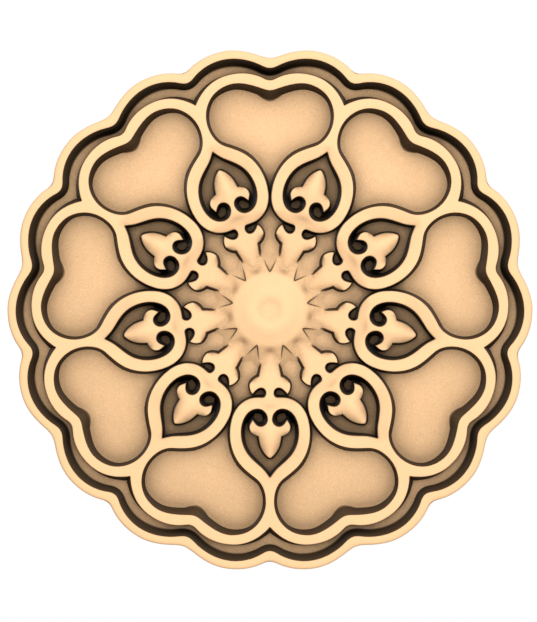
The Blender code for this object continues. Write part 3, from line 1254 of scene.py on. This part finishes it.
@dataclass(frozen=True)
class PaleWood:
    """Bare pale wood, with painted shade darkening it where the carving is deep and on its steep walls.

    Attributes:
        name: the name of the material.
        colour: the bare wood.
        roughness: how dull the surface is.
        gloss: how much it shines.
        painted_occlusion: how much of the wood's colour the painted shade leaves, by how open the place is.
        painted_wall_shade: how much of the wood's colour the steep walls lose to painted shade.
        streak: how much the grain's streaks show.
        stipple: how much the fine tooling shows on the sunk floors.
        relief: how much the grain and the tooling can be felt.
        relief_depth: how deep they are, in metres.
    """

    name: str = "pale_wood"
    colour: tuple[float, float, float] = (0.80, 0.502, 0.268)
    roughness: float = 0.55
    gloss: float = 0.02
    # Painted shade: the share of the wood's colour left by how open the place is, least in the deepest cuts
    painted_occlusion: Profile = (
        (0.0, 0.003), (0.30, 0.015), (0.45, 0.07), (0.60, 0.215), (0.65, 0.30), (0.70, 0.385), (0.80, 0.475),
        (0.85, 0.55), (0.92, 0.69), (0.96, 0.82), (0.985, 0.93), (1.0, 1.0))
    # Painted shade on steep walls, darker the more they turn away from the front
    painted_wall_shade: float = 0.87
    streak: float = 0.06
    stipple: float = 0.75
    relief: float = 0.25
    relief_depth: float = 0.0002

    def make(self) -> bpy.types.Material:
        """Makes the material.

        Returns:
            The material.
        """
        material = bpy.data.materials.new(self.name)
        material.use_nodes = True
        tree = material.node_tree
        shader = tree.nodes['Principled BSDF']
        shader.inputs['Specular IOR Level'].default_value = self.gloss
        # Painted shade: the cuts are darkened by their openness, the walls by how steep they are
        left = add_node(tree, 'ShaderNodeGroup', node_tree=painted_shade_group())
        left.inputs['Painted Wall Shade'].default_value = self.painted_wall_shade
        # Painted shade: the ramp turns openness into the share of the wood's colour left in the cuts
        ramp = add_node(tree, 'ShaderNodeValToRGB')
        set_ramp(ramp.color_ramp, self.painted_occlusion)
        tree.links.new(left.outputs['Open'], ramp.inputs['Fac'])
        grain = add_node(tree, 'ShaderNodeGroup', node_tree=fine_grain_group())
        values = {"Streaks": self.streak, "Stipple": self.stipple, "Dullness": self.roughness}
        for label, value in values.items():
            grain.inputs[label].default_value = value
        # The wood's colour times the painted shade: the ramp darkens the cuts, the wall share darkens steep
        # walls
        colour = multiply(tree, self.colour, ramp.outputs['Color'])
        colour = multiply(tree, multiply(tree, colour, left.outputs['Wall']), grain.outputs['Mottle'])
        tree.links.new(colour, shader.inputs['Base Color'])
        tree.links.new(grain.outputs['Dullness'], shader.inputs['Roughness'])
        bump = add_node(tree, 'ShaderNodeBump')
        bump.inputs['Strength'].default_value = self.relief
        bump.inputs['Distance'].default_value = self.relief_depth
        tree.links.new(grain.outputs['Relief'], bump.inputs['Height'])
        tree.links.new(bump.outputs['Normal'], shader.inputs['Normal'])
        return material


@dataclass(frozen=True)
class Lamp:
    """A soft square lamp that faces the centre and throws no shadow, as if more lamps stood all round.

    Attributes:
        name: its name.
        place: where it stands, in metres.
        size: the length of its side, in metres.
        power: its power, in watts.
    """

    name: str
    place: tuple[float, float, float]
    size: float
    power: float

    def hang(self) -> None:
        """Adds the lamp to the scene."""
        data = bpy.data.lights.new(self.name, 'AREA')
        data.size = self.size
        data.energy = self.power
        data.use_shadow = False
        lamp = bpy.data.objects.new(self.name, data)
        lamp.location = self.place
        lamp.rotation_euler = (-Vector(self.place)).to_track_quat('-Z', 'Y').to_euler()
        bpy.context.scene.collection.objects.link(lamp)


@dataclass
class Studio:
    """The camera, the soft lights, the white surroundings and the floor.

    Attributes:
        lens: focal length of the camera, in millimetres.
        camera_place: where the camera stands, in metres.
        lamps: a large one above the camera, and weak ones for the back.
        sky: strength of the light from all round.
        floor_size: the length of the floor's side, in metres.
        floor_place: the middle of the floor.
        floor_colour: its colour.
        floor_roughness: how dull it is.
    """

    lens: float = 104.6
    camera_place: tuple[float, float, float] = (-0.00083, -1.05, -0.00073)
    lamps: tuple[Lamp, ...] = (
        Lamp("key_light", (0.20, -2.1, 1.04), 0.8, 70.0),
        Lamp("back_light_left", (-1.3, 1.8, 0.6), 0.9, 8.0),
        Lamp("back_light_right", (1.3, 1.8, 0.9), 0.9, 8.0),
    )
    sky: float = 0.25
    floor_size: float = 3.0
    floor_place: tuple[float, float, float] = (0.0, -0.3, -1.0)
    floor_colour: tuple[float, float, float] = (0.86, 0.86, 0.85)
    floor_roughness: float = 0.7

    def build(self) -> None:
        """Sets up everything round the medallion."""
        self._camera()
        for lamp in self.lamps:
            lamp.hang()
        self._surroundings()
        self._floor()

    def _camera(self) -> None:
        """Places the camera square in front of the face."""
        data = bpy.data.cameras.new("camera")
        data.lens = self.lens
        camera = bpy.data.objects.new("camera", data)
        camera.location = self.camera_place
        camera.rotation_euler = (pi / 2.0, 0.0, 0.0)
        bpy.context.scene.collection.objects.link(camera)
        bpy.context.scene.camera = camera

    def _surroundings(self) -> None:
        """Makes the surroundings white to look at, and a weak even light."""
        world = bpy.data.worlds.new("white_room")
        bpy.context.scene.world = world
        world.use_nodes = True
        tree = world.node_tree
        background = tree.nodes['Background']
        path = add_node(tree, 'ShaderNodeLightPath')
        strength = add_node(tree, 'ShaderNodeMapRange')
        strength.inputs['To Min'].default_value = self.sky
        strength.inputs['To Max'].default_value = 1.0
        tree.links.new(path.outputs['Is Camera Ray'], strength.inputs['Value'])
        tree.links.new(strength.outputs['Result'], background.inputs['Strength'])
        background.inputs['Color'].default_value = (1.0, 1.0, 1.0, 1.0)

    def _floor(self) -> None:
        """Lays a plain pale floor well under the medallion."""
        bpy.ops.object.select_all(action='DESELECT')
        bpy.ops.mesh.primitive_plane_add(size=self.floor_size, location=self.floor_place)
        floor = bpy.context.view_layer.objects.active
        floor.name = "floor"
        material = bpy.data.materials.new("pale_floor")
        material.use_nodes = True
        shader = material.node_tree.nodes['Principled BSDF']
        shader.inputs['Base Color'].default_value = (*self.floor_colour, 1.0)
        shader.inputs['Roughness'].default_value = self.floor_roughness
        floor.data.materials.append(material)


def main() -> None:
    """Builds the medallion and the studio, puts the medallion on the root body and hides the frame's
    medallion.
    """
    logging.basicConfig(level=logging.INFO, format="%(name)s: %(message)s")
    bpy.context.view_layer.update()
    bpy.context.scene.view_settings.view_transform = 'Standard'
    piece = Medallion().build()
    piece.data.materials.append(PaleWood().make())
    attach(piece, "root")
    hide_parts("medallion")
    Studio().build()


if __name__ == "__main__":
    main()
